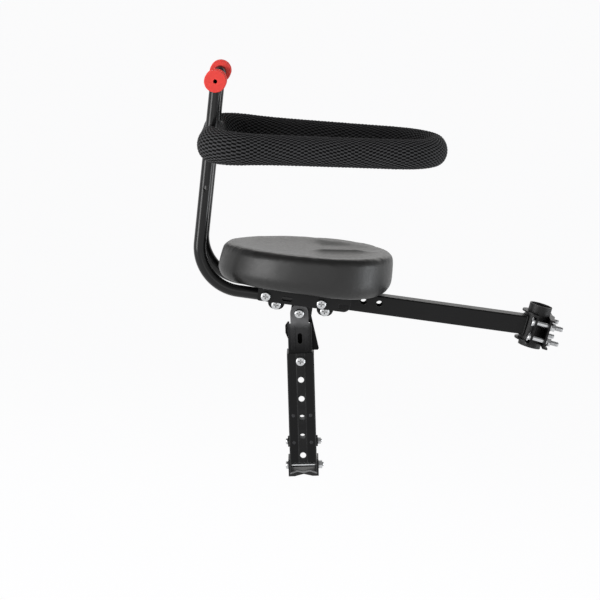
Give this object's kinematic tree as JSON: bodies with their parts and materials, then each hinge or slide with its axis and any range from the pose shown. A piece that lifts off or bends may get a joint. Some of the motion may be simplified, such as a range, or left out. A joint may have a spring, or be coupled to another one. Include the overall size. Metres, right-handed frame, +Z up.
{
  "type": "front-mounted child bike seat",
  "caption": "Child seat on a square beam that clamps to a bicycle seat post, with a padded guard ring, twin-tube handle, red grips and a swinging height-adjustable support leg.",
  "frame": {"origin": "centre of the seat post clamp's bore", "axes": "+X rearward along the beam, +Y to the bicycle's right, +Z up, square to the beam"},
  "size_m": [0.5107, 0.2738, 0.5331],
  "materials": {
    "black_steel": "gloss black powder coat",
    "zinc_steel": "bright zinc plating",
    "red_rubber": "satin",
    "black_rubber": "matte",
    "mesh_fabric": "open air-mesh knit",
    "seat_leather": "satin grain",
    "black_plastic": "matte"
  },
  "bodies": {
    "seat": {"beam": "black_steel", "beam_plug": "black_plastic", "clamp_front": "black_steel", "clamp_rear": "black_steel", "clamp_sleeve": "black_rubber", "clamp_bolts": "zinc_steel", "clamp_washers": "zinc_steel", "clamp_nuts": "zinc_steel", "seat_bracket": "black_steel", "front_beam_clip": "black_steel", "rear_beam_clip": "black_steel", "clip_bolts": "zinc_steel", "clip_nuts": "zinc_steel", "handle_tube_left": "black_steel", "handle_tube_right": "black_steel", "handle_bolts": "zinc_steel", "handle_nuts": "zinc_steel", "grip_left": "red_rubber", "grip_right": "red_rubber", "guard_rail": "black_steel", "guard_inserts": "zinc_steel", "guard_bolts": "zinc_steel", "guard_pad": "mesh_fabric", "seat_base": "black_plastic", "seat_cushion": "seat_leather", "seat_screws": "zinc_steel", "leg_hanger": "black_steel", "leg_pivot_bolt": "zinc_steel", "leg_pivot_nut": "zinc_steel"},
    "leg": {"leg_upper": "black_steel", "leg_lower": "black_steel", "leg_height_bolt": "zinc_steel", "leg_height_nut": "zinc_steel", "leg_backing_plate": "zinc_steel", "leg_washers": "black_steel", "leg_cross_bolt": "zinc_steel", "leg_cross_nut": "zinc_steel", "foot_bracket": "black_steel", "foot_pad": "black_rubber", "foot_bolt": "zinc_steel", "foot_nut": "zinc_steel"}
  },
  "joints": [
    {"name": "leg_swing", "type": "hinge", "parent": "seat", "child": "leg", "pos_m": [-0.314, 0, -0.0245], "axis": [0, -1, 0], "range_deg": [-25, 20]}
  ]
}
